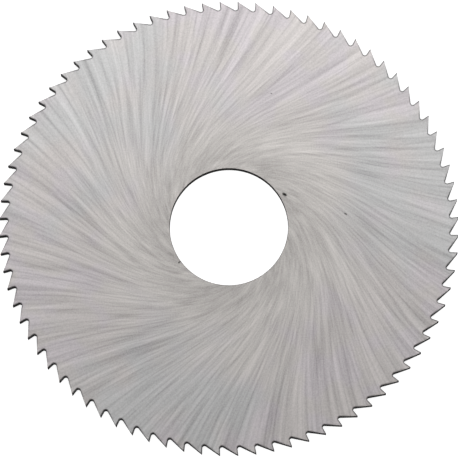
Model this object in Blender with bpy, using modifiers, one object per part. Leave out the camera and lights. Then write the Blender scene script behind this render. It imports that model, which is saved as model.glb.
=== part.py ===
"""Metal slitting saw: one flat, fine-toothed disc of high speed steel with a plain bore.

Metres, +Z up. The blade lies flat. The origin is at the centre of the bore, halfway through
the thickness, and one tooth has its tip on +X. Seen from above, the teeth cut anticlockwise.
"""

import math

import bmesh
import bpy
from mathutils import Vector

# Blade
OUTER_DIAMETER = 0.0622
RIM_THICKNESS = 0.0016
BORE_DIAMETER = 0.016
BORE_EDGE_BREAK = 0.00005

# Flat land round the bore, which the arbor's collars clamp. The faces are ground hollow, from
# the full thickness at the tooth tips down to this land, so that the blade clears its own cut.
HUB_DIAMETER = 0.026
HUB_THICKNESS = 0.0014

# Teeth. The depth is from the tip circle to where a tooth's face and the next one's back
# would meet, and the rake is between the face and the radius through the tip.
TOOTH_COUNT = 80
TOOTH_DEPTH = 0.00145
TOOTH_RAKE = math.radians(5.0)
GULLET_RADIUS = 0.0003

# Fineness of the mesh. The blank's facets are turned by a share of one facet, so that their
# edges pass clear of the tooth tips.
FACETS_PER_TOOTH = 2
FACET_TURN = 0.3
GULLET_STEPS = 8
SHARP_ANGLE = math.radians(20.0)

# Points closer than this are one point
MERGE_DISTANCE = 1e-6

# Finish
STEEL_COLOUR = (0.47, 0.455, 0.45, 1.0)
STEEL_ROUGHNESS = 0.38

# Derived sizes
TIP_RADIUS = OUTER_DIAMETER / 2
BORE_RADIUS = BORE_DIAMETER / 2
HUB_RADIUS = HUB_DIAMETER / 2
PITCH_ANGLE = math.tau / TOOTH_COUNT
HOLLOW_SLOPE = (RIM_THICKNESS - HUB_THICKNESS) / 2 / (TIP_RADIUS - HUB_RADIUS)
# Stock left on the blank outside the tip circle for the toothed outline to trim, and how far
# that outline stands out above and below the faces
STOCK = RIM_THICKNESS


def clear_scene():
    for obj in list(bpy.data.objects):
        bpy.data.objects.remove(obj, do_unlink=True)


def new_collection(name):
    collection = bpy.data.collections.new(name)
    bpy.context.scene.collection.children.link(collection)
    return collection


def new_object(name, data, collection):
    obj = bpy.data.objects.new(name, data)
    collection.objects.link(obj)
    return obj


def ground_steel():
    material = bpy.data.materials.new("ground_high_speed_steel")
    material.use_nodes = True
    shader = material.node_tree.nodes["Principled BSDF"]
    shader.inputs["Base Color"].default_value = STEEL_COLOUR
    shader.inputs["Metallic"].default_value = 1.0
    shader.inputs["Roughness"].default_value = STEEL_ROUGHNESS
    return material


def evaluated_mesh(obj, name):
    """A plain mesh of the object as its modifiers or its curve settings leave it."""
    graph = bpy.context.evaluated_depsgraph_get()
    mesh = bpy.data.meshes.new_from_object(obj.evaluated_get(graph))
    mesh.name = name
    return mesh


def on_circle(radius, angle):
    return Vector((radius * math.cos(angle), radius * math.sin(angle)))


def blank_section():
    """The section of the blank at +X, as (radius, height): out along the top, down, back and up."""
    stock_radius = TIP_RADIUS + STOCK
    stock_height = RIM_THICKNESS / 2 + HOLLOW_SLOPE * STOCK
    hub_height = HUB_THICKNESS / 2
    upper = [
        (BORE_RADIUS, hub_height - BORE_EDGE_BREAK),
        (BORE_RADIUS + BORE_EDGE_BREAK, hub_height),
        (HUB_RADIUS, hub_height),
        (stock_radius, stock_height),
    ]
    lower = [(radius, -height) for radius, height in reversed(upper)]
    return upper + lower


def turned_blank(collection):
    """The ground disc before its teeth are cut, as a section turned about Z."""
    section = blank_section()
    mesh = bpy.data.meshes.new("saw_blade_section")
    facet_turn = FACET_TURN * PITCH_ANGLE / FACETS_PER_TOOTH
    points = [(*on_circle(radius, facet_turn), height) for radius, height in section]
    edges = [(i, (i + 1) % len(section)) for i in range(len(section))]
    mesh.from_pydata(points, edges, [])
    blank = new_object("saw_blade", mesh, collection)
    turn = blank.modifiers.new("turn", "SCREW")
    turn.axis = "Z"
    turn.angle = math.tau
    turn.steps = FACETS_PER_TOOTH * TOOTH_COUNT
    turn.render_steps = turn.steps
    turn.use_merge_vertices = True
    turn.merge_threshold = MERGE_DISTANCE
    return blank


def gullet_arc(corner, towards_face, towards_back):
    """The fillet at a corner, clockwise from a tooth's face to the next tooth's back."""
    half_angle = towards_face.angle(towards_back) / 2
    middle = (towards_face + towards_back).normalized()
    centre = corner + middle * (GULLET_RADIUS / math.sin(half_angle))
    tangent = corner + towards_face * (GULLET_RADIUS / math.tan(half_angle))
    start = math.atan2(tangent.y - centre.y, tangent.x - centre.x)
    step = (math.pi - 2 * half_angle) / GULLET_STEPS
    return [centre + on_circle(GULLET_RADIUS, start - step * i) for i in range(GULLET_STEPS + 1)]


def tooth_points(index):
    """One tooth's outline, anticlockwise: its tip, down its face, and round the gullet."""
    angle = index * PITCH_ANGLE
    tip = on_circle(TIP_RADIUS, angle)
    next_tip = on_circle(TIP_RADIUS, angle + PITCH_ANGLE)
    # The face meets the root circle on a line through the tip, leaning back by the rake
    root_radius = TIP_RADIUS - TOOTH_DEPTH
    lean = math.asin(TIP_RADIUS * math.sin(TOOTH_RAKE) / root_radius) - TOOTH_RAKE
    corner = on_circle(root_radius, angle - lean)
    towards_face = (tip - corner).normalized()
    towards_back = (next_tip - corner).normalized()
    return [tip, *gullet_arc(corner, towards_face, towards_back)]


def toothed_prism(collection):
    """The whole toothed outline as an upright prism, thicker than the blank."""
    points = [point for index in range(TOOTH_COUNT) for point in tooth_points(index)]
    outline = bpy.data.curves.new("toothed_outline", "CURVE")
    outline.dimensions = "2D"
    outline.fill_mode = "BOTH"
    outline.extrude = RIM_THICKNESS / 2 + STOCK
    spline = outline.splines.new("POLY")
    spline.points.add(len(points) - 1)
    for spot, point in zip(spline.points, points):
        spot.co = (point.x, point.y, 0.0, 1.0)
    spline.use_cyclic_u = True
    curve = new_object("toothed_outline", outline, collection)
    mesh = evaluated_mesh(curve, "toothed_prism")
    weld(mesh)
    prism = new_object("toothed_prism", mesh, collection)
    prism.matrix_world = curve.matrix_world
    bpy.data.objects.remove(curve, do_unlink=True)
    prism.hide_render = True
    prism.display_type = "WIRE"
    return prism


def weld(mesh):
    """Joins the caps of a filled curve to its sides."""
    shape = bmesh.new()
    shape.from_mesh(mesh)
    bmesh.ops.remove_doubles(shape, verts=shape.verts, dist=MERGE_DISTANCE)
    bmesh.ops.recalc_face_normals(shape, faces=shape.faces)
    shape.to_mesh(mesh)
    shape.free()


def saw_blade(parts, cutters):
    """The blank, trimmed to the toothed outline."""
    blade = turned_blank(parts)
    cut = blade.modifiers.new("cut_teeth", "BOOLEAN")
    cut.operation = "INTERSECT"
    cut.solver = "EXACT"
    cut.object = toothed_prism(cutters)
    mesh = evaluated_mesh(blade, "saw_blade")
    blade.modifiers.clear()
    blade.data = mesh
    mesh.shade_smooth()
    mesh.set_sharp_from_angle(angle=SHARP_ANGLE)
    mesh.materials.clear()
    mesh.materials.append(ground_steel())
    return blade


def main():
    clear_scene()
    parts = new_collection("slitting_saw")
    cutters = new_collection("cutters")
    saw_blade(parts, cutters)


main()
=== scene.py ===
"""The looks of a metal slitting saw: ground faces, dark tooth flanks and a plain pale studio.

Metres, +Z up. The blade lies flat, with its bore's axis on Z and one tooth tip on +X.
"""

import logging
import math
from collections.abc import Mapping, Sequence
from dataclasses import dataclass, field
from enum import Enum
from functools import cached_property
from typing import Any

import bmesh
import bpy
from mathutils import Matrix, Vector


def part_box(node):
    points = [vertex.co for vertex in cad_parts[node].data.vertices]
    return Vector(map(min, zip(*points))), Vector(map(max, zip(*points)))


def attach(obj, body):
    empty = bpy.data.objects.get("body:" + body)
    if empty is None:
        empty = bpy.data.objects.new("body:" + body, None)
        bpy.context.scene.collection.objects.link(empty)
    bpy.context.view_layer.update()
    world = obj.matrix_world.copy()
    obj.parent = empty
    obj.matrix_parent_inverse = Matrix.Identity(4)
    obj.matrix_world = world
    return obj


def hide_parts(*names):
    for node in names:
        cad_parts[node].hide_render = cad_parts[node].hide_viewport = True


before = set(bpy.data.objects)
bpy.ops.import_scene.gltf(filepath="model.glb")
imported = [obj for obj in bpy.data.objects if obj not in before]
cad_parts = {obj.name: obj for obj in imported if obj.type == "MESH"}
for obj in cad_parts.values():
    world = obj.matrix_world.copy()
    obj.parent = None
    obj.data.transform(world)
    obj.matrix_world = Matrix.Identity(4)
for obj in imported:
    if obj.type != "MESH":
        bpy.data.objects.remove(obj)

LOG = logging.getLogger("slitting_saw")
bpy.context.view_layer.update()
BODY = "root"
NODE = "saw_blade"
WHITE = (1.0, 1.0, 1.0, 1.0)

Colour = tuple[float, float, float, float]
Pair = tuple[float, float]


class Blend(Enum):
    """How two colours are mixed."""

    MIX = "MIX"
    MULTIPLY = "MULTIPLY"


class Zone(Enum):
    """The blade's surfaces, in the order of its material slots."""

    FACE = 0
    FLANK = 1
    BORE = 2


class Value:
    """One output of a material's nodes. Arithmetic on it adds Math nodes."""

    def __init__(self, graph: "Graph", socket: bpy.types.NodeSocket) -> None:
        """Keeps the socket and the graph that it belongs to."""
        self.graph = graph
        self.socket = socket

    def __add__(self, other: "Operand") -> "Value":
        """The sum of two values."""
        return self.graph.math("ADD", self, other)

    __radd__ = __add__

    def __sub__(self, other: "Operand") -> "Value":
        """This value less another."""
        return self.graph.math("SUBTRACT", self, other)

    def __rsub__(self, other: "Operand") -> "Value":
        """Another value less this one."""
        return self.graph.math("SUBTRACT", other, self)

    def __mul__(self, other: "Operand") -> "Value":
        """The product of two values."""
        return self.graph.math("MULTIPLY", self, other)

    __rmul__ = __mul__

    def __truediv__(self, other: "Operand") -> "Value":
        """This value over another."""
        return self.graph.math("DIVIDE", self, other)

    def __rtruediv__(self, other: "Operand") -> "Value":
        """Another value over this one."""
        return self.graph.math("DIVIDE", other, self)

    def __pow__(self, other: "Operand") -> "Value":
        """This value to a power."""
        return self.graph.math("POWER", self, other)

Operand = Value | float
Setting = Value | float | Sequence[float]


class Graph:
    """The nodes of a material or of the world."""

    def __init__(self, owner: bpy.types.Material | bpy.types.World) -> None:
        """Starts an empty node tree.

        Args:
            owner: what the nodes belong to.
        """
        owner.use_nodes = True
        self.owner = owner
        self.tree = owner.node_tree
        self.tree.nodes.clear()

    def node(
        self,
        kind: str,
        settings: Mapping[str, Any] | None = None,
        inputs: Mapping[str | int, Setting] | None = None,
    ) -> bpy.types.Node:
        """Adds one node.

        Args:
            kind: the node's type.
            settings: properties of the node, set before its sockets.
            inputs: values or links, by the socket's name or number.

        Returns:
            The new node.
        """
        node = self.tree.nodes.new(kind)
        for name, value in (settings or {}).items():
            setattr(node, name, value)
        for key, value in (inputs or {}).items():
            if isinstance(value, Value):
                self.tree.links.new(value.socket, node.inputs[key])
            else:
                node.inputs[key].default_value = value
        return node

    def out(self, node: bpy.types.Node, key: str | int = 0) -> Value:
        """One output of a node, by its name or number."""
        return Value(self, node.outputs[key])

    def math(self, operation: str, *values: Operand) -> Value:
        """The result of a Math node on one to three values."""
        inputs = dict(enumerate(values))
        return self.out(self.node("ShaderNodeMath", {"operation": operation}, inputs))

    def mix(self, how: Blend, factor: Operand, first: Setting, second: Setting) -> Value:
        """Two colours mixed.

        Args:
            how: the way of mixing.
            factor: the share of the second colour.
            first: the colour at a factor of 0.
            second: the colour at a factor of 1.

        Returns:
            The mixed colour.
        """
        settings = {"data_type": "RGBA", "blend_type": how.value}
        return self.out(self.node("ShaderNodeMix", settings, {0: factor, 6: first, 7: second}), 2)

    def ramp(self, value: Operand, low: float, high: float) -> Value:
        """A smooth step.

        Args:
            value: what it goes by.
            low: where it is 0.
            high: where it is 1, which may lie below low.

        Returns:
            A value from 0 to 1.
        """
        settings = {"interpolation_type": "SMOOTHSTEP"}
        inputs = {"Value": value, "From Min": low, "From Max": high}
        return self.out(self.node("ShaderNodeMapRange", settings, inputs))

    @cached_property
    def place(self) -> tuple[Value, Value, Value]:
        """The coordinates of the shaded point, in the blade's own frame.

        Returns:
            Its x, y and z, in metres.
        """
        coordinates = self.node("ShaderNodeTexCoord")
        split = self.node("ShaderNodeSeparateXYZ", None, {0: self.out(coordinates, "Object")})
        return self.out(split, 0), self.out(split, 1), self.out(split, 2)

    @cached_property
    def radius(self) -> Value:
        """The distance of the shaded point from the axis, in metres."""
        x, y, z = self.place
        return self.math("SQRT", x * x + y * y)

    @cached_property
    def bearing(self) -> Value:
        """The direction of the shaded point from the axis, in radians from +X."""
        x, y, z = self.place
        return self.math("ARCTAN2", y, x)

    def noise(
        self,
        place: tuple[Operand, Operand, Operand],
        detail: float,
        rough: float,
        seed: float,
    ) -> Value:
        """Smooth random variation about 0.

        Args:
            place: where the pattern is read, in features.
            detail: how many finer layers are added.
            rough: the share that each finer layer keeps of the one before.
            seed: which of the like patterns is read.

        Returns:
            A value of either sign, whose coarsest layer is mostly within 0.5 of 0.
        """
        vector = self.out(self.node("ShaderNodeCombineXYZ", None, dict(enumerate(place))))
        settings = {"noise_dimensions": "4D", "normalize": False}
        inputs = {"Vector": vector, "W": seed, "Scale": 1.0, "Detail": detail, "Roughness": rough}
        return self.out(self.node("ShaderNodeTexNoise", settings, inputs))

    def bump(self, height: Value, depth: float) -> Value:
        """A normal from a height that is given as a share of depth, in metres."""
        inputs = {"Strength": 1.0, "Distance": depth, "Height": height}
        return self.out(self.node("ShaderNodeBump", None, inputs))

    def grey(self, level: Value) -> Value:
        """A colour of one level in red, green and blue."""
        return self.out(self.node("ShaderNodeCombineColor", None, {0: level, 1: level, 2: level}))

    def surface(self, shader: bpy.types.Node) -> None:
        """Makes a shader the material's surface."""
        self.node("ShaderNodeOutputMaterial", None, {"Surface": self.out(shader)})

    def principled(self, inputs: Mapping[str, Setting]) -> None:
        """Makes a Principled shader with these values and links the material's surface."""
        self.surface(self.node("ShaderNodeBsdfPrincipled", None, inputs))


@dataclass(frozen=True)
class Streaks:
    """One set of grinding streaks.

    Attributes:
        contrast: how strongly they lighten and darken the steel.
        per_radian: how many features lie on a radian round the blade.
        length: how far one runs outwards at the face's lean radius, as a share of that radius.
            It goes by the cube of the radius.
        cross: the tangent of the angle at which they cross the mean streak there. It goes by
            the inverse square of the radius.
        growth: the power, of a share that rises with the radius, that the contrast goes by.
        seed: which of the like patterns is read.
    """

    contrast: float
    per_radian: float
    length: float
    cross: float
    growth: float
    seed: float


@dataclass(frozen=True)
class Pit:
    """A small dark dent in the upper face.

    Attributes:
        radius: its distance from the axis, in metres.
        bearing: its direction from the axis, in degrees.
        length: its half length, in metres.
        width: its half width, in metres.
        turn: the direction of its length from +X, in degrees.
        dark: how much of the light it swallows, from 0 to 1.
        ragged: how unevenly its edge runs, as a share of its size.
        ragged_size: the size of that unevenness, in metres.
        edge: where its edge begins, as a share of its size.
        floor: where its full depth begins.
    """

    radius: float
    bearing: float
    length: float
    width: float
    turn: float
    dark: float
    ragged: float = 0.5
    ragged_size: float = 0.0001
    edge: float = 1.3
    floor: float = 0.5

    def share(self, graph: Graph) -> Value:
        """How much of the pit is at the shaded point.

        Args:
            graph: the material's nodes.

        Returns:
            A value from 0, outside it, to 1, at its full depth.
        """
        x, y, z = graph.place
        centre = on_circle(self.radius, math.radians(self.bearing))
        turn = math.radians(self.turn)
        right, ahead = x - centre.x, y - centre.y
        along = (right * math.cos(turn) + ahead * math.sin(turn)) / self.length
        aside = (ahead * math.cos(turn) - right * math.sin(turn)) / self.width
        place = (x / self.ragged_size, y / self.ragged_size, self.radius)
        uneven = graph.noise(place, 1.0, 0.5, self.bearing) * self.ragged
        reach = graph.math("SQRT", along * along + aside * aside) + uneven
        return graph.ramp(reach, self.edge, self.floor) * graph.math("GREATER_THAN", z, 0.0)


@dataclass(frozen=True)
class Mottle:
    """Random patches over the blade.

    Attributes:
        size: how large the patches are, in metres.
        seed: which of the like patterns is read.
        rough: the share that the finer patches keep of the coarse ones.
    """

    size: float
    seed: float
    rough: float = 0.6

    def value(self, graph: Graph) -> Value:
        """The patches at the shaded point.

        Args:
            graph: the material's nodes.

        Returns:
            A value of either sign.
        """
        x, y, z = graph.place
        place = (x / self.size, y / self.size, z / self.size)
        return graph.noise(place, 1.0, self.rough, self.seed)


@dataclass(frozen=True)
class PaintedEdgeShade:
    """Painted shade: a dark line round the teeth's edges, on the two faces, and a dark spot at each
    tip.

    It follows a tooth's face, goes round the gullet, and dies out along the next tooth's back.

    Attributes:
        width: how far it reaches in from the edge, in metres.
        dark: how much it darkens the edge, from 0 to 1.
        fade: how far along the back it dies out, in metres.
        tip_reach: how far the painted shade at a tip reaches, in metres.
        tip_dark: how much that painted shade darkens the tip.
        behind: how far behind a tip its tooth's share of the rim begins, as a share of the pitch.
    """

    width: float = 0.00020
    dark: float = 0.9
    fade: float = 0.0020
    tip_reach: float = 0.00035
    tip_dark: float = 0.35
    behind: float = 0.3

    def light(self, graph: Graph, blade: "SawBlade") -> Value:
        """The share of the colour that this painted shade leaves at the shaded point.

        Args:
            graph: the material's nodes.
            blade: the blade whose teeth it follows.

        Returns:
            A value from 0 to 1.
        """
        # The shaded point is turned to the tooth on +X, whose gullet lies ahead of it
        behind = self.behind * blade.pitch
        ahead = graph.math("WRAP", graph.bearing, blade.pitch - behind, -behind)
        radius = graph.radius
        point = (radius * graph.math("COSINE", ahead), radius * graph.math("SINE", ahead))
        corner = blade.root_corner(0)
        tip = on_circle(blade.tip_radius, 0.0)
        to_face, to_back, start = blade.root_lines(0)
        centre = blade.gullet_centre(0)
        along_face = dot(point, to_face, corner)
        along_back = dot(point, to_back, corner)
        from_face = graph.math("ABSOLUTE", dot(point, to_face.orthogonal(), corner))
        from_back = graph.math("ABSOLUTE", dot(point, to_back.orthogonal(), corner))
        from_gullet = apart(graph, point, centre) - blade.gullet_radius
        on_face = graph.math("GREATER_THAN", along_face, start)
        on_back = graph.math("GREATER_THAN", along_back, start)
        dying = graph.ramp(along_back, start + self.fade, start)
        # The line along the face, round the gullet and along the back is painted shade
        face = graph.ramp(from_face, self.width, 0.0) * on_face
        back = graph.ramp(from_back, self.width, 0.0) * dying * on_back
        root = graph.ramp(from_gullet, self.width, 0.0)
        line = graph.math("MAXIMUM", graph.math("MAXIMUM", face, root), back)
        # Painted shade at the tip, where the dark edges of its two walls meet
        tip_shade = graph.ramp(apart(graph, point, tip), self.tip_reach, 0.0)
        return (1.0 - line * self.dark) * (1.0 - tip_shade * self.tip_dark)


@dataclass(frozen=True)
class GroundFace:
    """Steel ground on a turning table, so that its streaks swirl out from the bore.

    Attributes:
        bore_colour: the steel's colour round the bore.
        rim_colour: its colour towards the teeth.
        cool_colour: its colour in the cooler parts of the rim.
        violet_colour: its colour in the parts of the rim with a violet cast.
        tone_start: the radius at which the bore's colour begins to give way, in metres.
        tone_end: the radius at which it has given way, in metres.
        tone_drift: how far that change wanders, in metres.
        tone_mottle: the pattern that it wanders by.
        cool_lobes: how many cooler parts lie round the blade.
        cool_bearing: the direction of the first, in degrees.
        cool_height: how strongly they follow those directions and not the pattern.
        cool_mottle: the pattern that they follow otherwise.
        cool_range: where the cool cast begins and is full.
        violet_mottle: the pattern of the violet cast.
        violet_range: where the violet cast begins and is full.
        bore_shade: how much darker the face is at the bore.
        bore_shade_start: the radius within which that shade is full, in metres.
        bore_shade_end: the radius at which it ends, in metres.
        roughness: the face's roughness.
        lean_tangent: the tangent of the streaks' lean from the radius, if they reached the axis.
        lean_radius: the radius at which that tangent has halved, in metres.
        sectors: the broad light and dark parts, which have no relief.
        hairs: the streaks of both signs.
        scratches: the sets of thin dark lines.
        scratch_width: how wide those lines are, as a value of the pattern.
        painted_edge_shade: the painted shade round the teeth's edges.
        grain: the contrast of the finest speckle.
        grain_mottle: the pattern of that speckle.
        relief: the unit of the face's relief, in metres.
        hair_relief: how high a streak of full contrast stands, in that unit.
        pit_relief: how deep a pit is, in that unit.
        pit_roughness: how much rougher a pit is.
        pits: the dents.
    """

    bore_colour: Colour = (0.500, 0.478, 0.461, 1.0)
    rim_colour: Colour = (0.480, 0.454, 0.445, 1.0)
    cool_colour: Colour = (0.456, 0.454, 0.454, 1.0)
    violet_colour: Colour = (0.480, 0.450, 0.464, 1.0)
    tone_start: float = 0.0125
    tone_end: float = 0.0210
    tone_drift: float = 0.008
    tone_mottle: Mottle = Mottle(0.012, 8.0)
    cool_lobes: int = 3
    cool_bearing: float = 12.0
    cool_height: float = 0.5
    cool_mottle: Mottle = Mottle(0.007, 19.0)
    cool_range: Pair = (-0.3, 0.7)
    violet_mottle: Mottle = Mottle(0.0045, 31.0)
    violet_range: Pair = (-0.1, 0.3)
    bore_shade: float = 0.12
    bore_shade_start: float = 0.0082
    bore_shade_end: float = 0.0150
    roughness: float = 0.28
    lean_tangent: float = 1.594
    lean_radius: float = 0.01861
    sectors: tuple[Streaks, ...] = (
        Streaks(0.045, 2.5, 0.9, 0.0, -0.2, 3.3),
        Streaks(0.026, 5.0, 0.8, 0.0, -0.6, 5.1),
        Streaks(0.038, 10.0, 0.7, 0.0, -0.9, 7.7),
    )
    hairs: tuple[Streaks, ...] = (
        Streaks(0.046, 16.0, 0.50, 0.0, -0.5, 15.3),
        Streaks(0.036, 18.0, 0.40, 0.08, -0.5, 61.3),
        Streaks(0.036, 18.0, 0.40, -0.08, -0.5, 67.1),
        Streaks(0.050, 36.0, 0.90, 0.0, 0.2, 11.3),
        Streaks(0.038, 40.0, 0.50, 0.06, 0.2, 23.7),
        Streaks(0.038, 40.0, 0.50, -0.06, 0.2, 37.1),
        Streaks(0.046, 60.0, 0.22, 0.03, 0.8, 19.1),
        Streaks(0.046, 64.0, 0.20, -0.08, 0.8, 59.9),
        Streaks(0.036, 64.0, 0.16, 0.15, 0.8, 71.3),
        Streaks(0.036, 44.0, 0.14, -0.16, 0.2, 73.9),
    )
    scratches: tuple[Streaks, ...] = (
        Streaks(-0.090, 24.0, 0.50, 0.03, 0.2, 83.3),
        Streaks(-0.090, 32.0, 0.45, -0.07, 0.2, 97.1),
        Streaks(-0.085, 38.0, 0.40, 0.12, 0.2, 47.9),
    )
    scratch_width: float = 0.28
    painted_edge_shade: PaintedEdgeShade = PaintedEdgeShade()
    grain: float = 0.13
    grain_mottle: Mottle = Mottle(0.00018, 2.0, 0.7)
    relief: float = 0.000001
    hair_relief: float = 4.0
    pit_relief: float = 2.0
    pit_roughness: float = 0.4
    pits: tuple[Pit, ...] = (
        Pit(0.00873, 28.0, 0.00036, 0.00021, -32.0, 0.9),
        Pit(0.00826, 213.6, 0.00020, 0.00012, 40.0, 0.7),
        Pit(0.01588, 3.9, 0.00024, 0.00013, -32.0, 0.6),
        Pit(0.01922, 70.2, 0.00011, 0.00009, 0.0, 0.5),
    )

    def layer(self, graph: Graph, streaks: Streaks) -> Value:
        """The light and dark of one set of streaks, about 0.

        The mean streak's lean from the radius has the tangent t / (1 + (r / c)^3). Along it the
        angle falls as t / 3 * log(q / (1 + q)) rises, with q = (r / c)^3, so the sum of the two
        stays the same and can tell one streak from the next. On the lower face the swirl is
        turned over with the blade.

        Args:
            graph: the material's nodes.
            streaks: the set.

        Returns:
            A value of either sign.
        """
        x, y, z = graph.place
        side = graph.math("SIGN", z)
        share = (graph.radius / self.lean_radius) ** 3.0
        bend = graph.math("LOGARITHM", share / (share + 1.0), math.e) * (self.lean_tangent / 3.0)
        outward = (self.lean_radius / graph.radius) ** 2.0 * -0.5
        turn = graph.bearing * side + bend + outward * streaks.cross
        around = graph.math("COSINE", turn) * streaks.per_radian
        across = graph.math("SINE", turn) * streaks.per_radian
        along = outward / streaks.length + side * streaks.seed
        pattern = graph.noise((around, across, along), 0.0, 1.0, streaks.seed)
        if streaks in self.scratches:
            pattern = self.lines(graph, pattern)
        return pattern * (share * 2.0 / (share + 1.0)) ** streaks.growth * streaks.contrast

    def lines(self, graph: Graph, pattern: Value) -> Value:
        """Thin lines where a pattern crosses 0, of about one width at any radius."""
        size = graph.math("ABSOLUTE", pattern) * (graph.radius / self.lean_radius)
        return graph.ramp(size, self.scratch_width, 0.0)

    def colour(self, graph: Graph) -> Value:
        """The bare steel's colour, warm round the bore and cooler in parts of the rim.

        Args:
            graph: the material's nodes.

        Returns:
            The colour.
        """
        drift = self.tone_mottle.value(graph) * self.tone_drift
        rim = graph.ramp(graph.radius + drift, self.tone_start, self.tone_end)
        tone = graph.mix(Blend.MIX, rim, self.bore_colour, self.rim_colour)
        around = graph.bearing - math.radians(self.cool_bearing)
        lobes = graph.math("COSINE", around * float(self.cool_lobes)) * self.cool_height
        cool = graph.ramp(lobes + self.cool_mottle.value(graph), *self.cool_range)
        violet = graph.ramp(self.violet_mottle.value(graph), *self.violet_range)
        tinted = graph.mix(Blend.MIX, violet * rim, tone, self.violet_colour)
        return graph.mix(Blend.MIX, cool * rim, tinted, self.cool_colour)

    def material(self, blade: "SawBlade") -> bpy.types.Material:
        """Makes the material.

        Args:
            blade: the blade whose teeth the painted edge shade follows.

        Returns:
            The finished material.
        """
        graph = Graph(bpy.data.materials.new("ground_face"))
        sectors = sum(self.layer(graph, streaks) for streaks in self.sectors)
        hairs = sum(self.layer(graph, streaks) for streaks in self.hairs + self.scratches)
        fine = hairs + self.grain_mottle.value(graph) * self.grain
        pits = 0.0
        light = 1.0
        for pit in self.pits:
            share = pit.share(graph)
            pits = share + pits
            light = (1.0 - share * pit.dark) * light
        near_bore = graph.ramp(graph.radius, self.bore_shade_end, self.bore_shade_start)
        # The dark line round the teeth multiplied in here is painted shade
        light = light * (1.0 - near_bore * self.bore_shade) * self.painted_edge_shade.light(graph, blade)
        shade = (1.0 + sectors + fine) * light
        graph.principled(
            {
                "Base Color": graph.mix(Blend.MULTIPLY, 1.0, self.colour(graph), graph.grey(shade)),
                "Metallic": 1.0,
                "Roughness": self.roughness + pits * self.pit_roughness,
                "Normal": graph.bump(fine * self.hair_relief - pits * self.pit_relief, self.relief),
            }
        )
        return graph.owner


@dataclass(frozen=True)
class DarkWall:
    """Near-black steel, with faint lines along the cutter's path; on the bore the black is painted
    shade.

    Attributes:
        name: the material's name.
        colour: the dark steel's colour.
        roughness: the mean roughness.
        specular: how strongly the dark wall mirrors.
        line_width: the size of the lines across the cutter's path, in metres.
        line_height: their size along Z, in metres.
        line_contrast: how strongly they lighten and darken the steel.
        line_roughness: how much the roughness goes with them.
        line_relief: how high they stand, in metres.
    """

    name: str = "dark_flank"
    colour: Colour = (0.006, 0.0055, 0.005, 1.0)
    roughness: float = 0.7
    specular: float = 0.02
    line_width: float = 0.0001
    line_height: float = 0.001
    line_contrast: float = 0.8
    line_roughness: float = 0.2
    line_relief: float = 0.000004

    def material(self, blade: "SawBlade") -> bpy.types.Material:
        """Makes the material.

        Args:
            blade: the blade that it is for, which changes nothing here.

        Returns:
            The finished material.
        """
        graph = Graph(bpy.data.materials.new(self.name))
        x, y, z = graph.place
        place = (x / self.line_width, y / self.line_width, z / self.line_height)
        lines = graph.noise(place, 2.0, 0.6, 5.0)
        shade = graph.grey(1.0 + lines * self.line_contrast)
        # On the bore this near-black colour is painted shade
        graph.principled(
            {
                "Base Color": graph.mix(Blend.MULTIPLY, 1.0, self.colour, shade),
                "Metallic": 0.0,
                "Specular IOR Level": self.specular,
                "Roughness": self.roughness + lines * self.line_roughness,
                "Normal": graph.bump(lines, self.line_relief),
            }
        )
        return graph.owner


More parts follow.
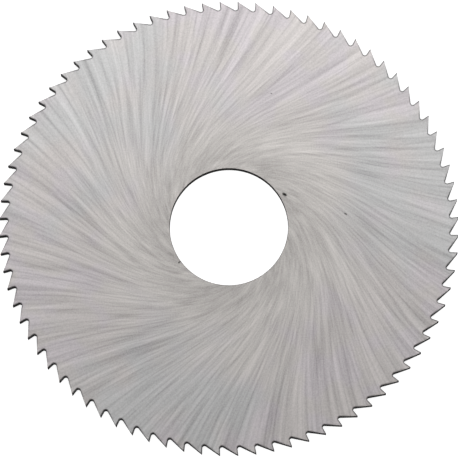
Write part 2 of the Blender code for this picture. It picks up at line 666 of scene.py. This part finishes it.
@dataclass
class SawBlade:
    """The blade: a hollow-ground disc with a plain bore and fine teeth.

    The overall sizes come from the frame, and the rest repeat the solid's.

    Attributes:
        bore_radius: the bore's radius, in metres, as are all lengths here.
        bore_break: the size of the bore's broken edges.
        hub_radius: the radius of the flat land round the bore.
        hub_height: how high that land lies above the middle plane.
        tooth_count: how many teeth there are.
        tooth_depth: how far below the tips a tooth's face and the next one's back would meet.
        rake: the angle between a tooth's face and the radius through its tip, in radians.
        gullet_radius: the radius that rounds the gullets.
        ring_steps: how many facets the bore and the rings of the faces have to a tooth.
        gullet_steps: how many facets a gullet has.
        root_margin: how far inside the gullets the outermost ring lies.
        sharp_angle: the angle from which an edge is shown sharp, in radians.
        tip_radius: the radius of the circle through the tips.
        rim_height: how high the tips lie above the middle plane.
    """

    bore_radius: float = 0.008
    bore_break: float = 0.00005
    hub_radius: float = 0.013
    hub_height: float = 0.0007
    tooth_count: int = 80
    tooth_depth: float = 0.00145
    rake: float = math.radians(5.0)
    gullet_radius: float = 0.0003
    ring_steps: int = 6
    gullet_steps: int = 12
    root_margin: float = 0.0008
    sharp_angle: float = math.radians(20.0)
    tip_radius: float = field(init=False)
    rim_height: float = field(init=False)

    def __post_init__(self) -> None:
        """Reads the overall sizes from the frame."""
        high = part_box(NODE)[1]
        self.tip_radius = high.x
        self.rim_height = high.z

    @property
    def pitch(self) -> float:
        """The angle from one tooth to the next."""
        return math.tau / self.tooth_count

    def height(self, radius: float) -> float:
        """How high the hollow-ground face lies above the middle plane at a radius."""
        outward = (radius - self.hub_radius) / (self.tip_radius - self.hub_radius)
        return self.hub_height + max(0.0, outward) * (self.rim_height - self.hub_height)

    def root_lines(self, index: int) -> tuple[Vector, Vector, float]:
        """The two sides of a gullet.

        Args:
            index: the tooth behind it.

        Returns:
            The directions from its corner along the tooth's face and along the next one's back,
            and how far from the corner its rounding ends.
        """
        corner = self.root_corner(index)
        to_face = (on_circle(self.tip_radius, index * self.pitch) - corner).normalized()
        to_back = (on_circle(self.tip_radius, (index + 1) * self.pitch) - corner).normalized()
        return to_face, to_back, self.gullet_radius / math.tan(to_face.angle(to_back) / 2)

    def gullet_centre(self, index: int) -> Vector:
        """The centre of a gullet's rounding.

        Args:
            index: the tooth behind it.

        Returns:
            The centre.
        """
        to_face, to_back, start = self.root_lines(index)
        middle = (to_face + to_back).normalized()
        return self.root_corner(index) + middle * math.hypot(start, self.gullet_radius)

    def root_corner(self, index: int) -> Vector:
        """Where a tooth's face and the next one's back would meet without the gullet.

        Args:
            index: the tooth.

        Returns:
            The corner.
        """
        root = self.tip_radius - self.tooth_depth
        lean = math.asin(self.tip_radius * math.sin(self.rake) / root) - self.rake
        return on_circle(root, index * self.pitch - lean)

    def gullet(self, index: int) -> list[Vector]:
        """The rounded root in front of a tooth.

        Args:
            index: the tooth.

        Returns:
            Its points, from the tooth's face to the next one's back.
        """
        to_face, to_back, start = self.root_lines(index)
        centre = self.gullet_centre(index)
        spoke = self.root_corner(index) + to_face * start - centre
        first = math.atan2(spoke.y, spoke.x)
        step = (math.pi - to_face.angle(to_back)) / self.gullet_steps
        angles = (first - step * i for i in range(self.gullet_steps + 1))
        return [centre + on_circle(self.gullet_radius, angle) for angle in angles]

    def sector(self, index: int) -> list[Vector]:
        """The rim from the middle of one gullet, over a tooth, to the middle of the next.

        Args:
            index: the tooth.

        Returns:
            Its points, anticlockwise.
        """
        middle = self.gullet_steps // 2
        before = self.gullet(index - 1)
        after = self.gullet(index)
        tip = on_circle(self.tip_radius, index * self.pitch)
        return [*before[middle:], tip, *after[: middle + 1]]

    def mesh(self) -> bpy.types.Mesh:
        """Makes the blade's mesh.

        Returns:
            The mesh, whose faces have a material slot for each zone.
        """
        shape = bmesh.new()
        sides = [self.side(shape, sign) for sign in (1.0, -1.0)]
        for (above, below), zone in zip(zip(*sides), (Zone.FLANK, Zone.BORE, Zone.BORE)):
            bridge(shape, above, below, zone)
        bmesh.ops.recalc_face_normals(shape, faces=shape.faces)
        mesh = bpy.data.meshes.new("saw_blade_ground")
        shape.to_mesh(mesh)
        shape.free()
        mesh.shade_smooth()
        mesh.set_sharp_from_angle(angle=self.sharp_angle)
        return mesh

    def side(self, shape: bmesh.types.BMesh, sign: float) -> tuple[list[Any], list[Any]]:
        """Adds one of the blade's two faces.

        Args:
            shape: the mesh being built.
            sign: 1 for the upper face, -1 for the lower.

        Returns:
            The corners round the rim and those round the bore.
        """
        count = self.tooth_count * self.ring_steps
        start = math.atan2(self.root_corner(-1).y, self.root_corner(-1).x)
        angles = [start + math.tau * i / count for i in range(count)]
        root_ring = self.tip_radius - self.tooth_depth - self.root_margin
        rings = []
        for radius in (self.bore_radius + self.bore_break, self.hub_radius, root_ring):
            points = (on_circle(radius, angle) for angle in angles)
            rings.append([shape.verts.new((p.x, p.y, sign * self.height(radius))) for p in points])
        for inner, outer in zip(rings, rings[1:]):
            bridge(shape, inner, outer, Zone.FACE)
        rim: list[Any] = []
        for index in range(self.tooth_count):
            rim += [
                shape.verts.new((p.x, p.y, sign * self.height(p.length)))
                for p in self.sector(index)[:-1]
            ]
        per_tooth = len(rim) // self.tooth_count
        for index in range(self.tooth_count):
            outer = [rim[(index * per_tooth + i) % len(rim)] for i in range(per_tooth + 1)]
            first = index * self.ring_steps
            inner = [rings[-1][(first + i) % count] for i in range(self.ring_steps + 1)]
            face = shape.faces.new([*outer, *reversed(inner)])
            face.material_index = Zone.FACE.value
        wall_height = sign * (self.hub_height - self.bore_break)
        wall = [on_circle(self.bore_radius, angle) for angle in angles]
        bore = [shape.verts.new((p.x, p.y, wall_height)) for p in wall]
        bridge(shape, bore, rings[0], Zone.BORE)
        return rim, bore

    def build(self, face: GroundFace, flank: DarkWall, bore: DarkWall) -> bpy.types.Object:
        """Makes the blade and puts it in the place of the solid.

        Args:
            face: the finish of the two faces.
            flank: the finish of the teeth's walls.
            bore: the bore's near-black material, which is painted shade.

        Returns:
            The blade.
        """
        blade = bpy.data.objects.new("ground_blade", self.mesh())
        bpy.context.scene.collection.objects.link(blade)
        for finish in (face, flank, bore):
            blade.data.materials.append(finish.material(self))
        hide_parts(NODE)
        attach(blade, BODY)
        return blade


@dataclass
class Camera:
    """The photograph's view: nearly straight down, from far off.

    Attributes:
        tilt: the angle from straight above the blade to the camera, in radians.
        bearing: the camera's direction from the picture's right, in radians.
        distance: how far it is from the blade's upper face, in metres.
        focal_pixels: its focal length, in pixels.
        picture: the picture's side, in pixels.
        centre_pixel: where the blade's centre is seen, in pixels from the top left corner.
        tooth_pixel_angle: how far the first tooth lies anticlockwise of the picture's right.
        clip: the nearest and farthest distances that it sees, in metres.
    """

    tilt: float = math.radians(9.8)
    bearing: float = math.radians(-85.3)
    distance: float = 0.715
    focal_pixels: float = 5291.0
    picture: float = 458.0
    centre_pixel: Pair = (228.83, 226.58)
    tooth_pixel_angle: float = math.radians(2.33)
    clip: Pair = (0.01, 100.0)

    def build(self, blade: SawBlade) -> bpy.types.Object:
        """Makes the camera and looks through it.

        Args:
            blade: the blade that it is aimed at.

        Returns:
            The camera.
        """
        # The picture's own directions are turned from the frame's by the angle of the first tooth
        turn = Matrix.Rotation(-self.tooth_pixel_angle, 3, "Z")
        back = turn @ leaning(self.bearing, self.tilt)
        upward = turn @ Vector((0.0, 1.0, 0.0))
        right = (-back).cross(upward).normalized()
        above = right.cross(-back)
        data = bpy.data.cameras.new("camera")
        data.lens = self.focal_pixels * data.sensor_width / self.picture
        data.shift_x = (self.picture / 2 - self.centre_pixel[0]) / self.picture
        data.shift_y = (self.centre_pixel[1] - self.picture / 2) / self.picture
        data.clip_start, data.clip_end = self.clip
        camera = bpy.data.objects.new("camera", data)
        bpy.context.scene.collection.objects.link(camera)
        axes = Matrix((right, above, back)).transposed()
        target = Vector((0.0, 0.0, blade.rim_height))
        camera.matrix_world = Matrix.Translation(target + back * self.distance) @ axes.to_4x4()
        bpy.context.scene.camera = camera
        return camera


@dataclass
class Studio:
    """A pale floor, a pale dome and a soft lamp.

    Attributes:
        floor_size: the floor's side, in metres.
        floor_grey: how much light the floor gives back.
        floor_roughness: its roughness.
        floor_glow: its own light, which makes it white to the camera.
        dome: the dome's strength.
        shade_bearing: the direction of the dome's darker part from +X, in degrees.
        shade_tilt: the angle from straight above to the middle of that part, in degrees.
        shade_core: the angle from its middle to where it begins to lighten, in degrees.
        shade_reach: the angle from its middle to where it ends, in degrees.
        shade_depth: the share of the light that it lacks.
        lamp_bearing: the lamp's direction from +X, in degrees.
        lamp_tilt: its angle from straight above, in degrees.
        lamp_away: its distance, in metres.
        lamp_size: its diameter, in metres.
        lamp_watts: its power.
    """

    floor_size: float = 6.0
    floor_grey: float = 0.5
    floor_roughness: float = 0.9
    floor_glow: float = 0.9
    dome: float = 0.75
    shade_bearing: float = -75.0
    shade_tilt: float = 9.0
    shade_core: float = 13.5
    shade_reach: float = 21.5
    shade_depth: float = 0.85
    lamp_bearing: float = 87.0
    lamp_tilt: float = 30.0
    lamp_away: float = 1.5
    lamp_size: float = 1.06
    lamp_watts: float = 4.9

    def floor(self, height: float) -> bpy.types.Object:
        """Makes the floor that the blade lies on, white to the camera but for its shadow.

        Args:
            height: how high it lies, in metres.

        Returns:
            The floor.
        """
        mesh = bpy.data.meshes.new("floor")
        half = self.floor_size / 2
        corners = ((-half, -half), (half, -half), (half, half), (-half, half))
        mesh.from_pydata([(*corner, height) for corner in corners], [], [(0, 1, 2, 3)])
        floor = bpy.data.objects.new("floor", mesh)
        bpy.context.scene.collection.objects.link(floor)
        graph = Graph(bpy.data.materials.new("pale_floor"))
        grey = (self.floor_grey, self.floor_grey, self.floor_grey, 1.0)
        inputs = {"Base Color": grey, "Roughness": self.floor_roughness}
        paper = graph.node("ShaderNodeBsdfPrincipled", None, inputs)
        glow = graph.node("ShaderNodeEmission", None, {"Color": WHITE, "Strength": self.floor_glow})
        both = {0: graph.out(paper), 1: graph.out(glow)}
        graph.surface(graph.node("ShaderNodeAddShader", None, both))
        mesh.materials.append(graph.owner)
        return floor

    def world(self) -> None:
        """A pale dome, darker where the camera and its stand would be."""
        world = bpy.data.worlds.new("studio")
        graph = Graph(world)
        middle = leaning(math.radians(self.shade_bearing), math.radians(self.shade_tilt))
        direction = graph.out(graph.node("ShaderNodeTexCoord"), "Generated")
        settings = {"operation": "DOT_PRODUCT"}
        product = graph.node("ShaderNodeVectorMath", settings, {0: direction, 1: middle})
        nearness = graph.out(product, 1)
        core = math.cos(math.radians(self.shade_core))
        reach = math.cos(math.radians(self.shade_reach))
        strength = (1.0 - graph.ramp(nearness, reach, core) * self.shade_depth) * self.dome
        seen = graph.out(graph.node("ShaderNodeLightPath"), "Is Camera Ray")
        both = {0: seen, 2: strength, 3: 1.0}
        shown = graph.out(graph.node("ShaderNodeMix", {"data_type": "FLOAT"}, both))
        background = graph.node("ShaderNodeBackground", None, {"Color": WHITE, "Strength": shown})
        graph.node("ShaderNodeOutputWorld", None, {"Surface": graph.out(background)})
        bpy.context.scene.world = world

    def lamp(self) -> None:
        """A round soft lamp aimed at the blade."""
        data = bpy.data.lights.new("soft_lamp", "AREA")
        data.shape = "DISK"
        data.size = self.lamp_size
        data.energy = self.lamp_watts
        lamp = bpy.data.objects.new("soft_lamp", data)
        bpy.context.scene.collection.objects.link(lamp)
        back = leaning(math.radians(self.lamp_bearing), math.radians(self.lamp_tilt))
        lamp.location = back * self.lamp_away
        lamp.rotation_mode = "QUATERNION"
        lamp.rotation_quaternion = back.to_track_quat("Z", "Y")

    def build(self, blade: SawBlade) -> None:
        """Makes the floor, the surroundings and the lamp.

        Args:
            blade: the blade that they are for.
        """
        report(self.floor(-blade.rim_height))
        self.world()
        self.lamp()
        bpy.context.scene.view_settings.view_transform = "Standard"


def on_circle(radius: float, angle: float) -> Vector:
    """The point of a circle about the axis at an angle."""
    return Vector((radius * math.cos(angle), radius * math.sin(angle)))


def leaning(bearing: float, tilt: float) -> Vector:
    """The unit vector that leans from straight above by a tilt, towards a bearing from +X."""
    out = math.sin(tilt)
    return Vector((out * math.cos(bearing), out * math.sin(bearing), math.cos(tilt)))


def dot(point: tuple[Value, Value], direction: Vector, origin: Vector) -> Value:
    """How far a point lies from an origin along a direction."""
    return (point[0] - origin.x) * direction.x + (point[1] - origin.y) * direction.y


def apart(graph: Graph, point: tuple[Value, Value], other: Vector) -> Value:
    """The distance from a point to a fixed one."""
    right, ahead = point[0] - other.x, point[1] - other.y
    return graph.math("SQRT", right * right + ahead * ahead)


def bridge(
    shape: bmesh.types.BMesh,
    first: Sequence[Any],
    second: Sequence[Any],
    zone: Zone,
) -> None:
    """Joins two rings of as many corners with faces.

    Args:
        shape: the mesh being built.
        first: one ring's corners.
        second: the other ring's corners.
        zone: the surface that the faces belong to.
    """
    count = len(first)
    for i in range(count):
        j = (i + 1) % count
        face = shape.faces.new((first[i], first[j], second[j], second[i]))
        face.material_index = zone.value


def report(piece: bpy.types.Object) -> None:
    """Logs a finished piece."""
    LOG.info("%s: %d faces", piece.name, len(piece.data.polygons))


def main() -> None:
    """Builds the studio and the blade, and reports each."""
    logging.basicConfig(level=logging.INFO, format="%(name)s: %(message)s")
    blade = SawBlade()
    Camera().build(blade)
    Studio().build(blade)
    # The bore's near-black material is painted shade
    report(blade.build(GroundFace(), DarkWall(), DarkWall("bore_painted_shade")))


if __name__ == "__main__":
    main()
